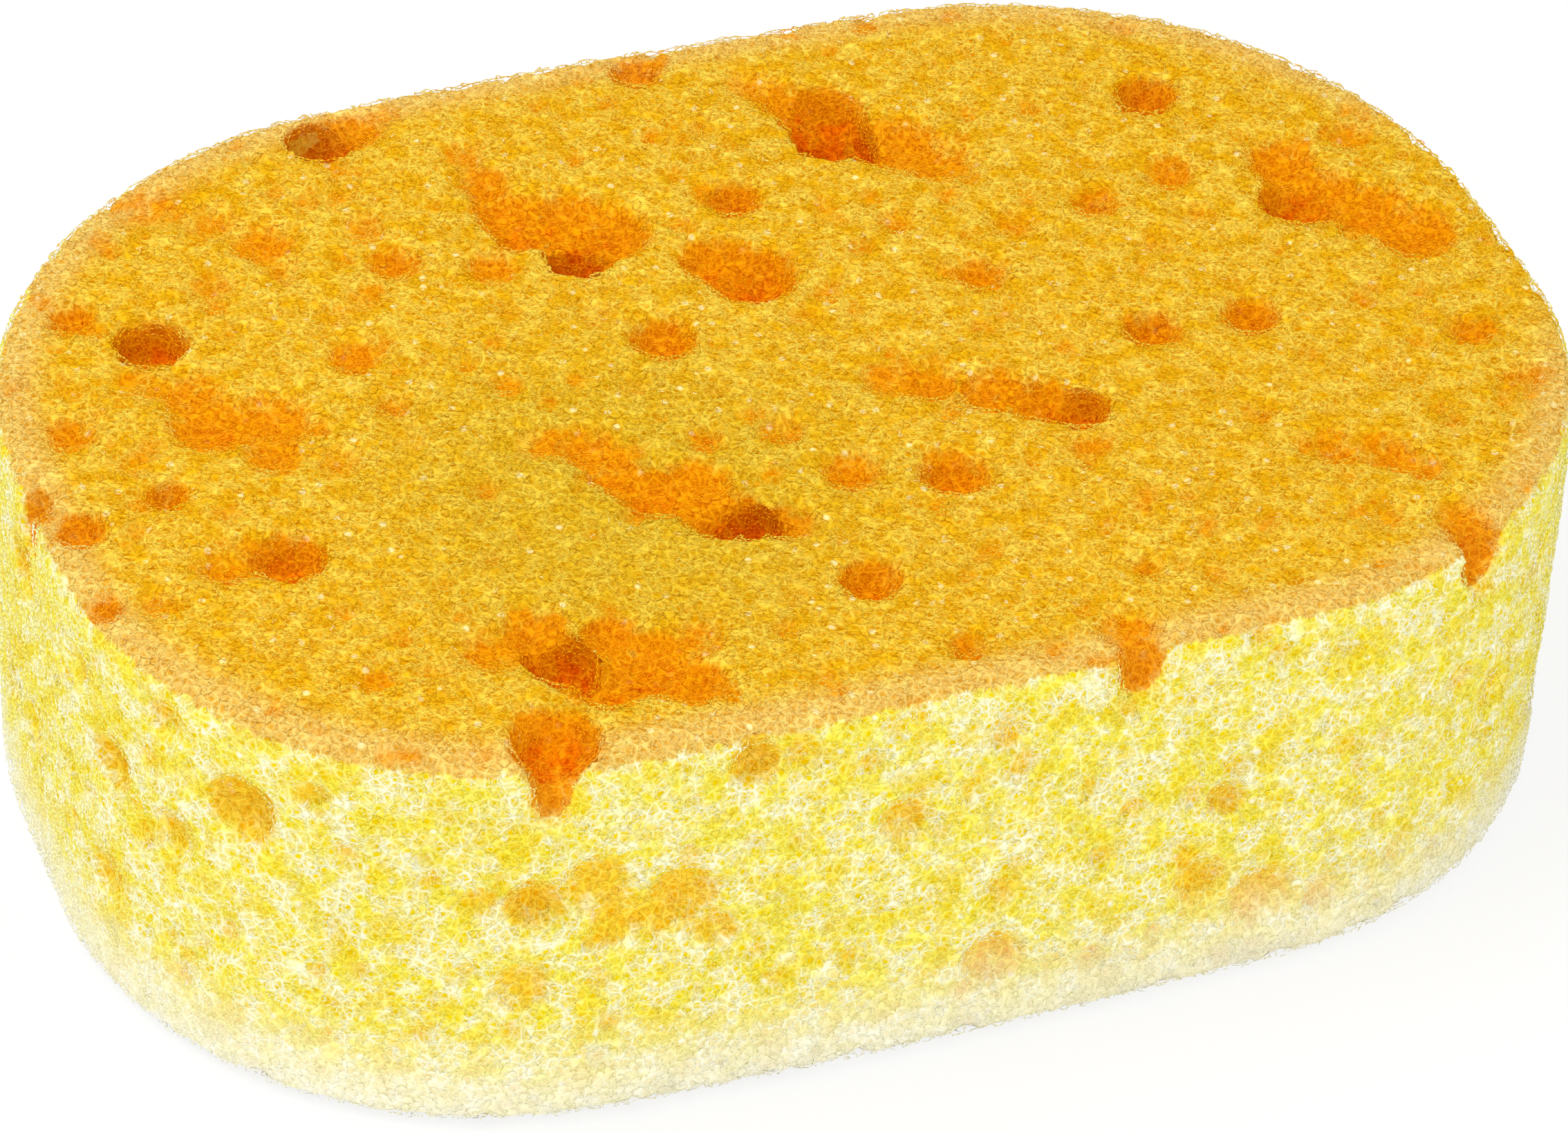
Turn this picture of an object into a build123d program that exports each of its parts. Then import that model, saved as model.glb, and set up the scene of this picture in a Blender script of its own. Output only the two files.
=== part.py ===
"""Large-pored bath sponge: one block of open-cell foam, die-cut to a rounded oblong.

Frame: millimetres, +X along the length, +Z up, origin in the middle of the underside.
The front is the -Y side. Foaming leaves big bubbles all through the block, and the cuts open
those that they pass through, so each pore is a ball of air cut by a face, by the wall or by a rim.
"""

from build123d import *

import os
import random
from dataclasses import dataclass

# Block
length = 150.0
width = 104.0  # at the middle, where the long sides stand out furthest
height = 44.0
side_bulge = 4.0  # how far each long side stands out at its middle
front_corner_radius = 42.0
back_corner_radius = 47.0
least_straight = 2.0  # of each short end, between its two corners, which give way to it
rim_radius = 1.5  # the soft foam rounds over at both cut faces

# Sizes that the pore maps below are drawn for. The pores spread with the real faces.
map_length = 150.0
map_width = 104.0
map_height = 44.0
map_around = 429.0  # the whole way round the wall
map_left = 112.0  # how far the wall map goes from the middle of the front towards -X
map_right = 64.0  # and towards +X

# Pores opened by the top face: along, across, radius of the mouth, depth.
top_pits = [
    (-32, 46, 2.6, 6.0),
    (2, 48, 2.4, 2.8),
    (17, 32, 3.4, 8.0),
    (17.5, 36, 4.2, 5.0),
    (50, 29.5, 2.9, 3.8),
    (4, 25, 2.6, 3.2),
    (-57, 19.5, 3.1, 5.0),
    (-13.5, 20.5, 2.6, 7.0),
    (-63, 25.5, 2.2, 2.6),
    (1.5, 13, 4.4, 4.2),
    (-10, 6, 3.2, 3.0),
    (57.5, 8.5, 3.6, 5.0),
    (-62, -3, 1.9, 2.6),
    (-71, -5.5, 2.6, 2.6),
    (-54, -15, 3.3, 4.0),
    (-12, -22.5, 1.9, 6.5),
    (9, -21.5, 3.2, 3.2),
    (24, -16, 2.4, 4.6),
    (35.5, -6.5, 2.6, 3.0),
    (45.5, -7.5, 2.7, 3.0),
    (-35, -36, 2.8, 6.0),
    (-4, -34, 2.8, 3.2),
    (-39, -46.5, 4.0, 4.4),
    (1, -45.5, 1.8, 2.0),
]
top_dishes = [
    (-28, 47, 3.6, 1.8),
    (24, 43, 1.8, 0.9),
    (35, 42, 2.0, 0.9),
    (30, 38, 1.5, 0.9),
    (52, 41, 2.1, 1.2),
    (5, 37, 1.7, 1.2),
    (1, 36, 2.0, 0.8),
    (-7.5, 43, 1.3, 1.0),
    (-31.5, 37, 2.5, 0.8),
    (-32, 31, 2.5, 1.4),
    (-31, 25, 2.8, 2.2),
    (-26, 33, 1.3, 0.8),
    (-49, 26.5, 2.7, 1.3),
    (-22, 21.5, 3.0, 1.8),
    (-35.5, 20, 2.4, 1.0),
    (-39, 18.5, 2.0, 1.2),
    (-39, 12, 2.9, 2.0),
    (-23, 14, 2.0, 1.0),
    (-15, 11, 2.5, 0.9),
    (28, 23.5, 1.9, 1.2),
    (18, 17, 2.3, 1.5),
    (29, 13, 3.0, 1.1),
    (38, 14, 2.5, 2.0),
    (40, 20, 2.2, 0.8),
    (47, 16.5, 2.7, 2.0),
    (46.5, 9.5, 2.0, 1.1),
    (67, 17, 2.8, 1.6),
    (23, 6.5, 2.8, 2.1),
    (41, 6, 2.2, 1.0),
    (4, 5, 2.2, 1.0),
    (26, -2, 1.9, 0.9),
    (-8, -3, 1.7, 1.0),
    (-15.5, -0.5, 1.8, 1.0),
    (-27, 4, 2.2, 1.0),
    (-38, 3.5, 2.0, 1.6),
    (-38, -2, 2.2, 0.8),
    (-68, 8.5, 2.9, 1.8),
    (-64, 2, 2.2, 1.0),
    (-60, -14.5, 2.8, 1.8),
    (-47.5, -14, 1.3, 0.9),
    (-67, -18, 2.2, 1.4),
    (-72, -17, 1.9, 2.2),
    (-56, -22, 1.2, 0.8),
    (-59, -28, 1.6, 0.9),
    (-52, -34, 1.8, 1.4),
    (-46, -47, 2.3, 1.0),
    (-11.5, -10, 2.2, 1.6),
    (-4, -10.5, 2.5, 1.3),
    (0, -18.5, 3.2, 2.0),
    (-8, -24, 2.8, 1.8),
    (22, -22, 2.5, 1.0),
    (40, -22, 2.0, 1.3),
    (55, -20, 2.3, 1.0),
    (65, -16, 2.6, 1.9),
    (67.5, -24, 2.2, 1.5),
    (45.5, -40, 2.3, 1.2),
    (21, -40, 1.9, 1.5),
    (-11.5, -34, 2.0, 1.0),
    (16, -47.5, 3.2, 1.6),
    (52, -42, 3.0, 1.8),
]
# Where bubbles ran together the cut leaves a trough, given as its bubbles in order.
top_troughs = [
    [(12, 43, 2.8, 1.4), (14.5, 39.5, 2.6, 2.4)],
    [(23, 29, 5.0, 2.4), (25.5, 25.5, 4.2, 1.8)],
    [(-19, 40, 2.4, 1.6), (-18.5, 35, 2.8, 2.2), (-18, 30, 3.2, 3.0), (-17, 26.5, 3.4, 3.6)],
    [(-13, 27, 4.6, 3.0), (-9.5, 23.5, 4.4, 3.2)],
    [(-51, 40.5, 4.2, 1.3), (-46, 36.5, 3.4, 1.2), (-42, 31.5, 3.8, 1.6), (-41.5, 26.5, 1.8, 1.6)],
    [(-1.5, 16.5, 3.2, 3.0), (0.5, 15, 3.4, 3.2)],
    [(58.5, 15, 3.8, 2.6), (60.5, 9.5, 4.0, 3.0), (64, 5, 4.6, 2.8), (66.5, 0.5, 4.6, 2.6)],
    [(-60, 14, 2.8, 1.2), (-55.5, 11, 3.8, 1.7), (-55, 6, 4.4, 2.6), (-49.5, 5, 4.6, 2.0)],
    [(-51, 0, 3.0, 1.8), (-45.5, -3, 3.2, 1.0)],
    [(-27, -6, 2.8, 1.2), (-22.5, -7.5, 3.4, 2.0), (-21.5, -12, 2.8, 2.6), (-18.5, -16, 3.8, 3.2)],
    [(-14.5, -15.5, 3.6, 2.4), (-14, -20.5, 3.6, 3.6)],
    [(8, -6.5, 2.8, 1.5), (12, -8, 2.8, 2.4), (17, -11, 3.2, 2.6), (21, -13.5, 3.2, 3.2)],
    [(45, -29, 2.8, 1.5), (49.5, -31, 2.8, 2.0), (52, -34, 2.4, 1.5)],
    [(-40.5, -33, 3.6, 1.5), (-36, -32, 3.0, 2.6), (-29.5, -34, 2.6, 2.6)],
    [(-32, -41, 3.0, 3.0), (-27.5, -39, 4.8, 3.2), (-24.5, -42.5, 3.2, 2.8), (-22, -36.5, 2.8, 1.5)],
]

# Pores opened by the front wall: place along the wall, measured from the middle of the front
# towards +X, then height, radius of the mouth, depth.
wall_pits = [
    (-87, 28.5, 3.2, 2.2),
    (-70, 33, 3.8, 2.8),
    (-42, 27, 3.0, 2.4),
    (-21.5, 40, 2.4, 2.6),
    (3.5, 9.5, 3.4, 2.0),
    (26, 23, 2.2, 1.8),
]
wall_dishes = [
    (-109, 34, 2.8, 1.6),
    (-107, 17, 2.8, 1.4),
    (-93, 36, 2.4, 1.6),
    (-88.5, 14, 3.0, 1.6),
    (-79, 39, 2.4, 1.6),
    (-78, 13, 2.0, 1.0),
    (-72, 19, 2.0, 1.0),
    (-64, 8.5, 2.0, 0.8),
    (-62, 37.5, 1.3, 1.0),
    (-60.5, 22.5, 1.9, 1.1),
    (-50, 15, 1.6, 0.8),
    (-43, 17, 3.4, 1.6),
    (-43, 3.5, 2.4, 0.8),
    (-24, 8, 1.3, 0.6),
    (-17, 39.5, 2.3, 1.2),
    (-11, 13.5, 2.2, 1.0),
    (-6.5, 29.5, 3.0, 1.6),
    (3, 38.5, 2.4, 1.0),
    (4, 18, 2.8, 1.2),
    (37, 38, 2.0, 1.0),
]
wall_troughs = [
    [(-82, 24.5, 1.8, 1.0), (-78, 26, 2.8, 1.6)],
    [(-48, 27.5, 2.4, 1.1), (-36, 29, 3.8, 1.7), (-33.5, 24, 3.4, 1.6), (-28, 25.5, 4.0, 2.0)],
    [(-25, 21, 2.8, 1.4), (-20.5, 19.5, 2.0, 1.0)],
    [(21.5, 17.5, 2.2, 1.0), (24, 13.5, 3.2, 1.6), (31, 9.5, 4.0, 1.8), (38, 8, 2.8, 1.2)],
    [(47, 30, 1.8, 1.0), (53, 27, 2.4, 1.3), (59, 22, 2.6, 1.4)],
]
# Pores that the front rim cuts through, which leave a notch down the wall: place along the
# front wall, radius, and how far the notch reaches down and in.
rim_notches = [
    (-108, 2.0, 6.5),
    (-40.5, 1.6, 7.0),
    (16, 2.0, 5.5),
    (54, 2.6, 6.0),
]
notch_set_in = 0.3  # of its radius, from the wall in to the middle of a notch

# The underside and the back of the wall open the same bubbles, scattered evenly.
scatter_seed = 5
back_wall_pores = 52
underside_pores = 84
scatter_mouths = (1.3, 3.6)
scatter_depths = (0.7, 2.8)
deep_depths = (3.0, 5.0)
deep_share = 0.15  # how many of the scattered pores are as deep as the pits
scatter_gap = 1.0  # least foam left between scattered pores
scatter_tries = 20  # places tried for each scattered pore before the face counts as full
rim_margin = 4.5  # from a scattered pore's middle to the nearest rim
rest_pad_radius = 6.0  # plain foam left at the middle of the underside
bubble_clear = 0.2  # bubbles nearer than this are cut one after another
seam_turn = 37.0  # degrees that each ball's seam is turned, to keep it off its neighbours' seams


def block_outline():
    """Plan outline: two long sides that stand out in shallow arcs, joined by rounded ends."""
    half_length = length / 2
    half_end = width / 2 - side_bulge
    corners = [
        (-half_length, -half_end),
        (half_length, -half_end),
        (half_length, half_end),
        (-half_length, half_end),
    ]
    edges = [
        ThreePointArc(corners[0], (0, -width / 2), corners[1]),
        Line(corners[1], corners[2]),
        ThreePointArc(corners[2], (0, width / 2), corners[3]),
        Line(corners[3], corners[0]),
    ]
    plan = make_face(edges)
    share = min(1, (2 * half_end - least_straight) / (front_corner_radius + back_corner_radius))
    front_corners = plan.vertices().group_by(Axis.Y)[0]
    plan = fillet(front_corners, front_corner_radius * share)
    back_corners = plan.vertices().group_by(Axis.Y)[-1]
    return fillet(back_corners, back_corner_radius * share).face()


def block(outline):
    body = extrude(outline, height)
    rims = body.faces().filter_by(Axis.Z).edges()
    return fillet(rims, rim_radius)


class Wall:
    """Places on the upright wall, by their distance along it from the middle of the front."""

    def __init__(self, outline):
        self.wire = outline.outer_wire()
        self.around = self.wire.length
        self.start = self.wire.param_at_point((0, -width / 2, 0)) * self.around
        self.stretch = self.around / map_around

    def place(self, along, z):
        """The point on the wall and the outward direction there."""
        share = (self.start + along * self.stretch) / self.around % 1
        point = self.wire.position_at(share)
        tangent = self.wire.tangent_at(share)
        return Vector(point.X, point.Y, z), Vector(tangent.Y, -tangent.X, 0)


@dataclass
class Bubble:
    """A ball of air, and the way out of the face that opens it."""

    centre: Vector
    radius: float
    outward: Vector

    def meets(self, other):
        return (self.centre - other.centre).length < self.radius + other.radius + bubble_clear

    def solid(self):
        return Plane(self.centre, z_dir=self.outward) * Rot(0, 0, seam_turn) * Sphere(self.radius)


def bubble_under(point, outward, mouth, depth):
    """The bubble that a face opens to a hole of radius mouth and the given depth."""
    radius = (mouth**2 + depth**2) / (2 * depth)
    return Bubble(point + outward * (radius - depth), radius, outward)


def flat_list(troughs):
    return [bubble for trough in troughs for bubble in trough]


def top_bubbles():
    stretch_x = length / map_length
    stretch_y = width / map_width
    found = []
    for x, y, mouth, depth in top_pits + top_dishes + flat_list(top_troughs):
        point = Vector(x * stretch_x, y * stretch_y, height)
        found.append(bubble_under(point, Vector(0, 0, 1), mouth, depth))
    return found


def front_wall_bubbles(wall):
    rise = height / map_height
    found = []
    for along, z, mouth, depth in wall_pits + wall_dishes + flat_list(wall_troughs):
        point, outward = wall.place(along, z * rise)
        found.append(bubble_under(point, outward, mouth, depth))
    return found


def rim_notch_rods(wall):
    """Upright bubbles that the front rim opens, as rods with a round lower end."""
    rods = []
    for along, radius, reach in rim_notches:
        point, outward = wall.place(along, height)
        low = point - outward * radius * notch_set_in - Vector(0, 0, reach - radius)
        rod = Cylinder(radius, reach, align=(Align.CENTER, Align.CENTER, Align.MIN))
        rods.append(Plane(low) * (rod + Sphere(radius)))
    return rods


def scattered(rng, count, place):
    """Pores at random places that keep clear of each other, fewer where the face is full."""
    mouths = []
    found = []
    for _ in range(count * scatter_tries):
        mouth = rng.uniform(*scatter_mouths)
        depths = deep_depths if rng.random() < deep_share else scatter_depths
        point, outward = place(rng)
        if all((point - other).length > mouth + size + scatter_gap for other, size in mouths):
            mouths.append((point, mouth))
            found.append(bubble_under(point, outward, mouth, rng.uniform(*depths)))
        if len(found) == count:
            break
    return found


def back_wall_pore_places(wall):
    """A function that picks a random place on the stretch of wall that the wall map leaves."""

    def place(rng):
        along = rng.uniform(map_right, map_around - map_left)
        return wall.place(along, rng.uniform(rim_margin, height - rim_margin))

    return place


def underside_pore_places(outline):
    """A function that picks a random place on the underside, off its rim and its middle."""
    inner = offset(outline, -rim_margin).face()
    half_length = length / 2
    half_width = width / 2

    def place(rng):
        while True:
            point = Vector(rng.uniform(-half_length, half_length), rng.uniform(-half_width, half_width), 0)
            if point.length > rest_pad_radius and inner.is_inside(point):
                return point, Vector(0, 0, -1)

    return place


def rounds(all_bubbles):
    """The bubbles in rounds, such that none meets another of its own round."""
    sorted_rounds = []
    for bubble in all_bubbles:
        for group in sorted_rounds:
            if not any(bubble.meets(other) for other in group):
                group.append(bubble)
                break
        else:
            sorted_rounds.append([bubble])
    return sorted_rounds


def sponge():
    outline = block_outline()
    wall = Wall(outline)
    rng = random.Random(scatter_seed)
    found = top_bubbles() + front_wall_bubbles(wall)
    found += scattered(rng, back_wall_pores, back_wall_pore_places(wall))
    found += scattered(rng, underside_pores, underside_pore_places(outline))
    body = block(outline) - rim_notch_rods(wall)
    for group in rounds(found):
        body -= [bubble.solid() for bubble in group]
    return body


if __name__ == "__main__":
    os.makedirs("parts", exist_ok=True)
    export_step(sponge(), "parts/sponge.step")
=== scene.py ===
import math

import bmesh
import bpy
import numpy as np
from mathutils import Euler, Matrix, Vector, noise
from mathutils.bvhtree import BVHTree


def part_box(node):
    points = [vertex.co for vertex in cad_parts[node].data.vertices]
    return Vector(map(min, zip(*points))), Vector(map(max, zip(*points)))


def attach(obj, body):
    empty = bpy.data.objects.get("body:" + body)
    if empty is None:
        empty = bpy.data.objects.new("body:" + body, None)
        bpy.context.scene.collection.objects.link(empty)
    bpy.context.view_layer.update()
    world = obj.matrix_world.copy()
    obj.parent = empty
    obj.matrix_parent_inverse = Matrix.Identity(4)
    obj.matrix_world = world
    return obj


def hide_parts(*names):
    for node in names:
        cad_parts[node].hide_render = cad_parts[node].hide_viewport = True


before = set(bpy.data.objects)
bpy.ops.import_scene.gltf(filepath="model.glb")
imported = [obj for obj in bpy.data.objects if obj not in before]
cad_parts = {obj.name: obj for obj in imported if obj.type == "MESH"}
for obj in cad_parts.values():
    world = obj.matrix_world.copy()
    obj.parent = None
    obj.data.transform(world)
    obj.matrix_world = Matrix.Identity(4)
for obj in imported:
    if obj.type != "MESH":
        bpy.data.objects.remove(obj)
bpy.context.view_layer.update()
mm = 0.001


def linear(text):
    # sRGB hex to the linear colour that a shader socket takes
    parts = [int(text[i:i + 2], 16) / 255 for i in (1, 3, 5)]
    return [p / 12.92 if p <= 0.04045 else ((p + 0.055) / 1.055) ** 2.4 for p in parts] + [1.0]


def addNode(tree, kind, inputs=None, **settings):
    # inputs maps a socket's name or number to a value, or to the output that feeds it
    node = tree.nodes.new("ShaderNode" + kind)
    for name, value in settings.items():
        setattr(node, name, value)
    for name, value in (inputs or {}).items():
        if isinstance(value, bpy.types.NodeSocket):
            tree.links.new(value, node.inputs[name])
        else:
            node.inputs[name].default_value = value
    return node


def smooth(low, high, x):
    t = np.clip((x - low) / (high - low), 0, 1)
    return t * t * (3 - 2 * t)


def meshArrays(mesh):
    points = np.empty(len(mesh.vertices) * 3)
    mesh.vertices.foreach_get("co", points)
    corners = np.empty(len(mesh.loop_triangles) * 3, int)
    mesh.loop_triangles.foreach_get("vertices", corners)
    return points.reshape(-1, 3), corners.reshape(-1, 3)


def vertexNormals(mesh):
    normals = np.empty(len(mesh.vertices) * 3)
    mesh.vertices.foreach_get("normal", normals)
    return normals.reshape(-1, 3)


def meshObject(name, points, faces):
    mesh = bpy.data.meshes.new(name)
    mesh.from_pydata(points, [], faces)
    mesh.update()
    obj = bpy.data.objects.new(name, mesh)
    bpy.context.scene.collection.objects.link(obj)
    return obj


def writeAttribute(mesh, name, values):
    layer = mesh.attributes.get(name) or mesh.attributes.new(name, "FLOAT", "POINT")
    layer.data.foreach_set("value", np.asarray(values, np.float32))


def remeshed(source, voxel, turn):
    # a closed, even mesh of the source, on a grid turned so that its rows follow no side of the block
    spin = Euler([math.radians(a) for a in turn]).to_matrix().to_4x4()
    mesh = source.data.copy()
    mesh.transform(spin)
    holder = bpy.data.objects.new("remeshing", mesh)
    bpy.context.scene.collection.objects.link(holder)
    grid = holder.modifiers.new("grid", "REMESH")
    grid.mode = "VOXEL"
    grid.voxel_size = voxel
    even = bpy.data.meshes.new_from_object(holder.evaluated_get(bpy.context.evaluated_depsgraph_get()))
    bpy.data.objects.remove(holder)
    even.transform(spin.inverted())
    even.calc_loop_triangles()
    return even


# the block without its pores, to measure from

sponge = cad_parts["sponge"]
low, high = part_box("sponge")
blockHeight = high.z


def plainBlock(wallOnly=False):
    # the outline is convex, so the hull of the CAD solid is the block as it was before any bubble opened
    shell = bmesh.new()
    for p in meshArrays(sponge.data)[0]:
        shell.verts.new(p)
    bmesh.ops.remove_doubles(shell, verts=shell.verts, dist=0.01 * mm)
    found = bmesh.ops.convex_hull(shell, input=shell.verts)
    inside = {v for v in found["geom_interior"] + found["geom_unused"] if isinstance(v, bmesh.types.BMVert)}
    bmesh.ops.delete(shell, geom=list(inside), context="VERTS")
    shell.normal_update()
    if wallOnly:
        level = [f for f in shell.faces if abs(f.normal.z) > 0.3]
        bmesh.ops.delete(shell, geom=level, context="FACES")
    tree = BVHTree.FromBMesh(shell)
    shell.free()
    return tree


plain = plainBlock()
plainWall = plainBlock(wallOnly=True)
cut = BVHTree.FromPolygons(*[a.tolist() for a in meshArrays(sponge.data)])


def seesUp(points):
    up = Vector((0, 0, 1))
    return np.array([cut.ray_cast(Vector(p) + up * 0.1 * mm, up)[0] is None for p in points])


def blurred(mesh, values, rounds):
    # each point's value shared with its neighbours, so that a pore's painted shade fades out past its rim
    edges = np.empty(len(mesh.edges) * 2, int)
    mesh.edges.foreach_get("vertices", edges)
    a, b = edges.reshape(-1, 2).T
    count = np.bincount(np.concatenate([a, b]), minlength=len(values))
    for _ in range(rounds):
        total = np.bincount(a, values[b], len(values)) + np.bincount(b, values[a], len(values))
        values = (values + total / count) / 2
    return values


def measure(points):
    # for each point: how deep it lies below the plain block, where it comes out and which way that faces
    depth = np.empty(len(points))
    outAt = np.empty((len(points), 3))
    facing = np.empty((len(points), 3))
    for i, p in enumerate(points):
        at, normal, _, distance = plain.find_nearest(Vector(p))
        depth[i] = distance
        outAt[i] = at
        facing[i] = normal
    return depth, outAt, facing


# the colour zones, as attributes that the foam materials read

zones = {
    "poreBlur": 5,              # rounds of sharing with the next point
    "capDrop": 0.6 * mm,        # how far the golden top colour runs down the wall
    "capDropLeft": 1.3 * mm,    # and at the front left corner
    "rimHighlightWidth": 7 * mm,       # painted highlight: the paler, peachier band inside the rim
    "paintedShadeAt": (-22 * mm, -16 * mm),    # painted shade: the top is a little greener round here
    "paintedShadeReach": 42 * mm,
    "openUp": 12,               # rounds of sharing what a pore sees of the sky
}


def zoneValues(mesh):
    points = meshArrays(mesh)[0]
    depth, outAt, facing = measure(points)
    flatTop = smooth(0.75, 0.95, facing[:, 2])
    x, y = outAt[:, 0] / high.x, outAt[:, 1] / high.y
    left = smooth(0.1, -0.6, x) * smooth(0.1, -0.5, y) * smooth(-1.1, -0.75, x)
    drop = zones["capDrop"] + (zones["capDropLeft"] - zones["capDrop"]) * left
    # above zero is golden top, below zero is lemon wall, in millimetres; the golden top is painted shade, a
    # deeper colour on the same foam as the wall
    cap = (outAt[:, 2] - blockHeight + drop) / mm + 2.5 * flatTop
    inPore = smooth(0.4 * mm, 1.0 * mm, depth)
    opening = smooth(0.12, 0.4, blurred(mesh, seesUp(points) * inPore, zones["openUp"]))
    cap += np.maximum(2.5 - cap, 0) * opening * inPore
    rim = np.array([wallDistance(p) for p in outAt])
    # painted highlight: a paler, peachier band inside the front, back and left rims
    rimHighlight = smooth(zones["rimHighlightWidth"], 1 * mm, rim) * np.maximum(smooth(0.15, 0.6, np.abs(y)),
                                                                 smooth(-0.5, -0.9, x))
    # painted shade: the flat top a little greener, fading out with the distance from one spot
    paintedShade = flatTop * smooth(zones["paintedShadeReach"], 0, np.hypot(outAt[:, 0] - zones["paintedShadeAt"][0],
                                                             outAt[:, 1] - zones["paintedShadeAt"][1]))
    small = smallPoreDepths(points, depth / mm) / mm
    return {"depth": blurred(mesh, depth / mm, zones["poreBlur"]) + small, "cap": cap, "rimHighlight": rimHighlight,
            "paintedShade": paintedShade}


def wallDistance(p):
    # from a point on top to the wall, sideways
    return plainWall.find_nearest(Vector((p[0], p[1], blockHeight / 2)))[3]


# the foam block, under the strands

block = {
    "voxel": 0.88 * mm,
    "turn": (17, 11, 29),          # degrees
    "smallPores": 1500,
    "smallRadius": (0.5 * mm, 1.5 * mm),
    "rimSoftening": 2,             # rounds of smoothing, because the foam has no sharp edge
    "below": 0.3 * mm,             # the strands stand this far out of the block's mean surface
    "roughness": 0.25 * mm,        # how far the cut cells stand in and out
    "cell": 1.1 * mm,
    "seed": 7,
}


def foamBlock():
    even = remeshed(sponge, block["voxel"], block["turn"])
    points = meshArrays(even)[0]
    normals = vertexNormals(even)
    zone = zoneValues(even)
    points = np.stack([blurred(even, axis, block["rimSoftening"]) for axis in points.T], 1)
    points = points - normals * smallPoreDepths(points, zone["depth"])[:, None]
    wave = np.array([noise.noise(Vector(p) / block["cell"]) for p in points])
    fine = np.array([noise.noise(Vector(p) / block["cell"] * 2.3 + Vector((9, 4, 2))) for p in points])
    points = points + normals * ((wave + 0.6 * fine) * block["roughness"] - block["below"])[:, None]
    points[:, 2] = np.maximum(points[:, 2], 0)
    even.vertices.foreach_set("co", points.ravel())
    even.update()
    obj = bpy.data.objects.new("foamBlock", even)
    bpy.context.scene.collection.objects.link(obj)
    for name, values in zone.items():
        writeAttribute(even, name, values)
    even.shade_smooth()
    return obj


rng = np.random.default_rng(block["seed"])


def smallPores():
    # small bubbles that the cut opened between the large ones, as places and radii
    even = remeshed(sponge, 2 * mm, block["turn"])
    points = meshArrays(even)[0]
    chosen = rng.choice(len(points), block["smallPores"], replace=False)
    return points[chosen], rng.uniform(*block["smallRadius"], len(chosen))


smallAt, smallRadii = smallPores()


def smallPoreDepths(points, depth):
    sink = np.zeros(len(points))
    for centre, radius in zip(smallAt, smallRadii):
        near = np.flatnonzero(np.abs(points - centre).max(1) < radius)
        offset = points[near] - centre
        reach = radius ** 2 - (offset * offset).sum(1)
        sink[near] = np.maximum(sink[near], np.sqrt(np.maximum(reach, 0)) * 0.75)
    return sink * smooth(1.5, 0.5, depth)


print("foam block")
foam = foamBlock()

# the strands that the cut left standing, one along each edge of a surface cell

strands = {
    "cell": 1.01 * mm,
    "turn": (31, -13, 47),        # degrees
    "jitter": 0.34,               # of a cell
    "thickness": 0.17 * mm,       # a real strand is about 0.1 mm; drawn coarser, to show
    "overlap": 0.18,              # each end runs past its knot by this share of the strand
    "standOut": (-0.12 * mm, 0.16 * mm),
    "most": 184000,               # triangles in one piece
}


def cellEdges():
    # knots at the middles of the triangles of an uneven net, and a strand between each two that share a side
    even = remeshed(sponge, strands["cell"], strands["turn"])
    zone = zoneValues(even)
    zone["up"] = measure(meshArrays(even)[0])[2][:, 2]
    normals = vertexNormals(even)
    points = np.stack([blurred(even, axis, block["rimSoftening"]) for axis in meshArrays(even)[0].T], 1)
    shift = rng.uniform(-1, 1, points.shape) * strands["jitter"] * strands["cell"]
    shift -= normals * (shift * normals).sum(1)[:, None]
    points = points + shift
    quads = np.empty(len(even.loops), int)
    even.loops.foreach_get("vertex_index", quads)
    quads = quads.reshape(-1, 4)
    flip = rng.random(len(quads)) < 0.5
    quads[flip] = np.roll(quads[flip], 1, axis=1)
    triangles = np.concatenate([quads[:, [0, 1, 2]], quads[:, [0, 2, 3]]])
    knots = points[triangles].mean(1)
    outward = normals[triangles].mean(1)
    outward /= np.linalg.norm(outward, axis=1)[:, None]
    knots = knots + outward * rng.uniform(*strands["standOut"], len(knots))[:, None]
    sides = np.sort(triangles[:, [0, 1, 1, 2, 2, 0]].reshape(-1, 2), axis=1)
    owner = np.repeat(np.arange(len(triangles)), 3)
    order = np.lexsort((sides[:, 1], sides[:, 0]))
    sides, owner = sides[order], owner[order]
    paired = np.flatnonzero((sides[1:] == sides[:-1]).all(1))
    atKnots = {key: values[triangles].mean(1) for key, values in zone.items()}
    return knots, outward, np.stack([owner[paired], owner[paired + 1]], 1), atKnots


def spindles(starts, ends, outward):
    # a closed three-sided spindle for each strand: two tips and a triangle round its waist
    along = ends - starts
    starts, ends = starts - along * strands["overlap"], ends + along * strands["overlap"]
    across = np.cross(along, outward)
    across /= np.linalg.norm(across, axis=1)[:, None] + 1e-12
    middle = (starts + ends) / 2
    radius = strands["thickness"] / 2 * rng.uniform(0.75, 1.25, len(middle))[:, None]
    waist = [middle + radius * (math.cos(a) * outward + math.sin(a) * across)
             for a in np.linspace(0, 2 * math.pi, 3, endpoint=False)]
    points = np.stack([starts, ends, *waist], 1).reshape(-1, 3)
    first = np.arange(len(middle))[:, None, None] * 5
    pattern = np.array([(0, 2, 3), (0, 3, 4), (0, 4, 2), (1, 3, 2), (1, 4, 3), (1, 2, 4)])
    return points, (first + pattern).reshape(-1, 3)


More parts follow.
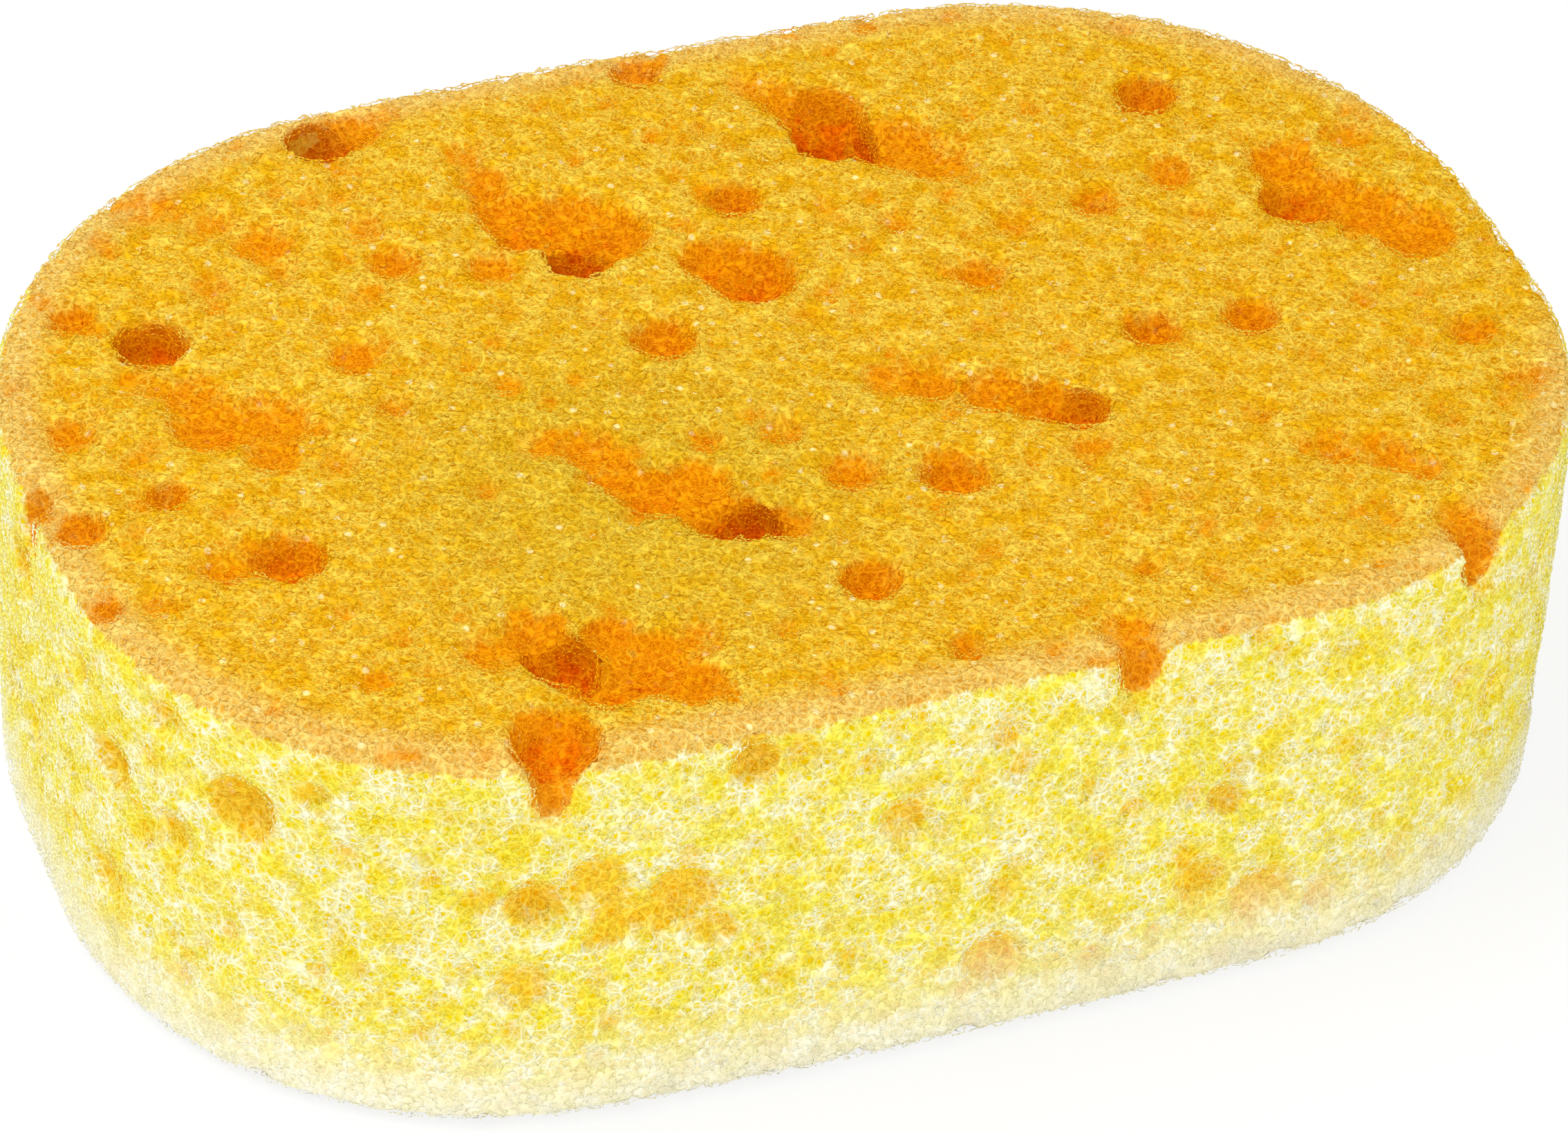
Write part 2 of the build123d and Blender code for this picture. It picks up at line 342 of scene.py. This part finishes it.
def triangleObject(name, points, triangles):
    mesh = bpy.data.meshes.new(name)
    mesh.vertices.add(len(points))
    mesh.vertices.foreach_set("co", points.astype(np.float32).ravel())
    mesh.loops.add(triangles.size)
    mesh.loops.foreach_set("vertex_index", triangles.astype(np.int32).ravel())
    mesh.polygons.add(len(triangles))
    mesh.polygons.foreach_set("loop_start", np.arange(0, triangles.size, 3, dtype=np.int32))
    mesh.update(calc_edges=True)
    obj = bpy.data.objects.new(name, mesh)
    bpy.context.scene.collection.objects.link(obj)
    return obj


def strandPieces():
    knots, outward, pairs, zone = cellEdges()
    up = zone["up"][pairs].mean(1)
    right = knots[pairs].mean(1)[:, 0] > 0
    parts = {
        "topStrandsLeft": (up > 0.5) & ~right,
        "topStrandsRight": (up > 0.5) & right,
        "wallStrandsLeft": (np.abs(up) <= 0.5) & ~right,
        "wallStrandsRight": (np.abs(up) <= 0.5) & right,
        "undersideStrands": up < -0.5,
    }
    made = []
    for name, chosen in parts.items():
        own = pairs[chosen]
        room = strands["most"] // 6
        if name == "undersideStrands":
            room //= 3
        print(name, len(own), "strands, room for", room)
        if len(own) > room:
            own = own[rng.permutation(len(own))[:room]]
        points, triangles = spindles(knots[own[:, 0]], knots[own[:, 1]], outward[own].mean(1))
        points[:, 2] = np.maximum(points[:, 2], 0)
        obj = triangleObject(name, points, triangles)
        for key in ("depth", "cap", "rimHighlight", "paintedShade"):
            ends = zone[key][own]
            middle = ends.mean(1)
            values = np.stack([ends[:, 0], ends[:, 1], middle, middle, middle], 1)
            writeAttribute(obj.data, key, values.ravel())
        made.append(obj)
    return made


print("strands")
strandObjects = strandPieces()

def foamMaterial(name, strandLift):
    # polyether foam, cut with a wire: dull cut cell walls over saturated, shaded cells;
    # strandLift is how much of a strand's pale colour shows even between the drawn walls
    material = bpy.data.materials.new(name)
    material.use_nodes = True
    tree = material.node_tree
    tree.nodes.clear()
    place = addNode(tree, "TexCoord").outputs["Object"]
    cap = addNode(tree, "Attribute", attribute_name="cap").outputs["Fac"]
    depth = addNode(tree, "Attribute", attribute_name="depth").outputs["Fac"]
    rimHighlight = addNode(tree, "Attribute", attribute_name="rimHighlight").outputs["Fac"]
    paintedShade = addNode(tree, "Attribute", attribute_name="paintedShade").outputs["Fac"]

    # cells of 1.15 mm with their walls bright, and finer ones of 0.6 mm
    cells = addNode(tree, "TexVoronoi", {"Vector": place, "Scale": 1 / (1.15 * mm), "Randomness": 1.0},
                    feature="DISTANCE_TO_EDGE").outputs["Distance"]
    wall = addNode(tree, "MapRange", {"Value": cells, "From Min": 0.03, "From Max": 0.2, "To Min": 1.0,
                                      "To Max": 0.0}).outputs["Result"]
    fineCells = addNode(tree, "TexVoronoi", {"Vector": place, "Scale": 1 / (0.6 * mm), "Randomness": 1.0},
                        feature="DISTANCE_TO_EDGE").outputs["Distance"]
    fineWall = addNode(tree, "MapRange", {"Value": fineCells, "From Min": 0.03, "From Max": 0.25,
                                          "To Min": 0.6, "To Max": 0.0}).outputs["Result"]
    strand = addNode(tree, "Math", {0: wall, 1: fineWall}, operation="MAXIMUM").outputs[0]
    lift = addNode(tree, "Math", {0: strand, 1: strandLift}, operation="ADD", use_clamp=True).outputs[0]

    grain = addNode(tree, "TexNoise", {"Vector": place, "Scale": 1 / (1.6 * mm),
                                       "Detail": 2.0}).outputs["Fac"]

    # painted highlights: pale dots about 0.6 mm across and 2.6 mm apart, where closed cell windows would
    # catch the light
    glintCells = addNode(tree, "TexVoronoi", {"Vector": place, "Scale": 1 / (2.6 * mm), "Randomness": 1.0})
    paintedGlint = fraction(tree, glintCells.outputs["Distance"], 0.17, 0.09, 0, 0.75)

    # top: golden, with painted shade and scattered light in the pores: orange where a bubble lets light
    # scatter, rust-red at the bottom of the deepest
    uneven = addNode(tree, "Math", {0: grain, 1: 2.6, 2: -0.3}, operation="MULTIPLY_ADD").outputs[0]
    poreShade = addNode(tree, "Math", {0: depth, 1: uneven}, operation="MULTIPLY").outputs[0]
    tuft = addNode(tree, "TexNoise", {"Vector": place, "Scale": 1 / (2.2 * mm), "Detail": 3.0}).outputs["Fac"]
    tuft = fraction(tree, tuft, 0.36, 0.64, 0, 1)
    topHole = mix(tree, "#D08A00", "#E8A400", grain)
    # painted shade: holes and strands a little greener and duller round one spot of the top
    topHole = mix(tree, topHole, "#C49600", fraction(tree, paintedShade, 0, 1, 0, 0.5))
    topStrand = mix(tree, "#F0BE14", "#F8DA50", tuft)
    topStrand = mix(tree, topStrand, "#E2C430", fraction(tree, paintedShade, 0, 1, 0, 0.45))
    top = mix(tree, topHole, topStrand, lift)
    # painted highlight: the paler, peachier band inside the rim
    top = mix(tree, top, mix(tree, "#E0AA3C", "#F6DA8C", lift), fraction(tree, rimHighlight, 0, 1, 0, 0.6))
    # painted highlight: pale glints on the top
    top = mix(tree, top, "#FFF2B0", paintedGlint)
    top = mix(tree, top, mix(tree, "#DC7E00", "#FAAA04", lift), fraction(tree, poreShade, 0.15, 1.4, 0, 0.95))
    top = mix(tree, top, mix(tree, "#DA5600", "#F68000", lift), fraction(tree, poreShade, 2.0, 5.5, 0, 0.95))

    # wall: lemon with near-white strands, and painted light: paler towards the underside
    height = addNode(tree, "SeparateXYZ", {"Vector": place}).outputs["Z"]
    patch = addNode(tree, "TexNoise", {"Vector": place, "Scale": 1 / (4 * mm), "Detail": 2.0}).outputs["Fac"]
    wallHole = mix(tree, "#E8C400", "#F8E400", grain)
    wallStrand = mix(tree, "#FCF46C", "#FFFFE0", tuft)
    side = mix(tree, wallHole, wallStrand, lift)
    side = mix(tree, side, mix(tree, "#ECC400", "#FCEC38", lift), fraction(tree, patch, 0.5, 0.66, 0, 0.7))
    # painted highlight: pale glints on the wall
    side = mix(tree, side, "#FFFFF0", paintedGlint)
    # painted shade and scattered light in the wall's pores, more orange with depth
    side = mix(tree, side, mix(tree, "#F0AC00", "#FFDC38", lift), fraction(tree, poreShade, 0.15, 1.4, 0, 0.9))
    side = mix(tree, side, mix(tree, "#E88A00", "#F6B400", lift), fraction(tree, poreShade, 1.6, 4.5, 0, 0.8))
    # painted light: the wall fades to near-white towards the underside
    side = mix(tree, side, "#FFFDF0", fraction(tree, height, 13 * mm, 0.5 * mm, 0, 0.75))

    ragged = addNode(tree, "TexNoise", {"Vector": place, "Scale": 1 / (1.3 * mm),
                                        "Detail": 3.0}).outputs["Fac"]
    edge = addNode(tree, "Math", {0: ragged, 1: 3.2, 2: -1.6}, operation="MULTIPLY_ADD").outputs[0]
    edge = addNode(tree, "Math", {0: cap, 1: edge}, operation="ADD").outputs[0]
    # painted shade: the top drawn in a deeper gold than the lemon wall of the same foam
    colour = mix(tree, side, top, fraction(tree, edge, -0.35, 0.35, 0, 1))

    bump = addNode(tree, "Bump", {"Height": lift, "Strength": 0.5, "Distance": 0.25 * mm}).outputs["Normal"]
    dull = addNode(tree, "MapRange", {"Value": lift, "To Min": 0.95, "To Max": 0.7}).outputs["Result"]
    shader = addNode(tree, "BsdfPrincipled", {
        "Base Color": colour, "Normal": bump, "Roughness": dull, "IOR": 1.45, "Specular IOR Level": 0.03})
    addNode(tree, "OutputMaterial", {"Surface": shader.outputs[0]})
    return material


def mix(tree, a, b, share):
    # a and b are hex colours or outputs
    a, b = [linear(c) if isinstance(c, str) else c for c in (a, b)]
    return addNode(tree, "Mix", {"Factor": share, 6: a, 7: b}, data_type="RGBA").outputs[2]


def fraction(tree, value, fromLow, fromHigh, toLow, toHigh):
    return addNode(tree, "MapRange", {"Value": value, "From Min": fromLow, "From Max": fromHigh,
                                      "To Min": toLow, "To Max": toHigh},
                   interpolation_type="SMOOTHSTEP").outputs["Result"]


foam.data.materials.clear()
foam.data.materials.append(foamMaterial("polyetherFoamWireCut", 0.0))
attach(foam, "root")
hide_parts("sponge")
strandMaterial = foamMaterial("polyetherFoamStrand", 0.75)
for piece in strandObjects:
    piece.data.materials.append(strandMaterial)
    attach(piece, "root")

studio = {
    "lens": 159.13,               # millimetres on a 36 mm sensor
    "azimuth": -22.5,
    "elevation": 39.3,
    "roll": 3.24,
    "distance": 679 * mm,
    "target": (1.3 * mm, 0.0, 17.1 * mm),
    "skyLight": 0.68,
    "keyPower": 1.1,              # watts; the key has three times this
    "floorGap": 0.2 * mm,
    "floorReach": 3.0,            # metres each way
}


def placeCamera():
    data = bpy.data.cameras.new("camera")
    data.lens = studio["lens"]
    data.sensor_width = 36
    data.clip_start = 0.05
    data.clip_end = 20
    camera = bpy.data.objects.new("camera", data)
    a, e = math.radians(studio["azimuth"]), math.radians(studio["elevation"])
    back = Vector((math.sin(a) * math.cos(e), -math.cos(a) * math.cos(e), math.sin(e)))
    facing = (-back).to_track_quat("-Z", "Y").to_matrix().to_4x4()
    roll = Matrix.Rotation(math.radians(studio["roll"]), 4, "Z")
    standing = Matrix.Translation(Vector(studio["target"]) + back * studio["distance"])
    camera.matrix_world = standing @ facing @ roll
    bpy.context.scene.collection.objects.link(camera)
    bpy.context.scene.camera = camera


def softLamp(name, place, size, power):
    data = bpy.data.lights.new(name, "AREA")
    data.shape = "DISK"
    data.size = size
    data.energy = power
    lamp = bpy.data.objects.new(name, data)
    facing = (-Vector(place)).to_track_quat("-Z", "Y").to_matrix().to_4x4()
    lamp.matrix_world = Matrix.Translation(place) @ facing
    bpy.context.scene.collection.objects.link(lamp)


def whiteWorld():
    world = bpy.data.worlds.new("studio")
    world.use_nodes = True
    tree = world.node_tree
    tree.nodes.clear()
    path = addNode(tree, "LightPath")
    seen = addNode(tree, "Math", {0: path.outputs["Is Camera Ray"], 1: path.outputs["Is Glossy Ray"]},
                   operation="MAXIMUM").outputs[0]
    seen = addNode(tree, "Math", {0: seen, 1: path.outputs["Is Transmission Ray"]},
                   operation="MAXIMUM").outputs[0]
    strength = addNode(tree, "MapRange", {"Value": seen, "To Min": studio["skyLight"],
                                          "To Max": 1.0}).outputs[0]
    sky = addNode(tree, "Background", {"Color": (1, 1, 1, 1), "Strength": strength})
    addNode(tree, "OutputWorld", {"Surface": sky.outputs[0]})
    bpy.context.scene.world = world


def paleFloor():
    reach = studio["floorReach"]
    corners = [(-reach, -reach, 0), (reach, -reach, 0), (reach, reach, 0), (-reach, reach, 0)]
    floor = meshObject("floor", corners, [(0, 1, 2, 3)])
    floor.location.z = -studio["floorGap"]
    material = bpy.data.materials.new("uncoatedWhitePaper")
    material.use_nodes = True
    tree = material.node_tree
    tree.nodes.clear()
    path = addNode(tree, "LightPath")
    paper = addNode(tree, "BsdfDiffuse", {"Color": linear("#F4F4F4")})
    white = addNode(tree, "Emission", {"Color": (1, 1, 1, 1), "Strength": 1.0})
    share = addNode(tree, "Math", {0: path.outputs["Is Camera Ray"], 1: 0.8}, operation="MULTIPLY").outputs[0]
    both = addNode(tree, "MixShader", {0: share, 1: paper.outputs[0], 2: white.outputs[0]})
    addNode(tree, "OutputMaterial", {"Surface": both.outputs[0]})
    floor.data.materials.append(material)


print("studio")
placeCamera()
softLamp("key", (-0.3, 0.05, 0.75), 0.5, studio["keyPower"] * 3)
softLamp("fill", (0.6, -0.5, 0.5), 0.6, studio["keyPower"])
softLamp("front", (-0.3, -0.8, 0.25), 0.5, studio["keyPower"] * 1.4)
whiteWorld()
paleFloor()
bpy.context.scene.view_settings.view_transform = "Standard"
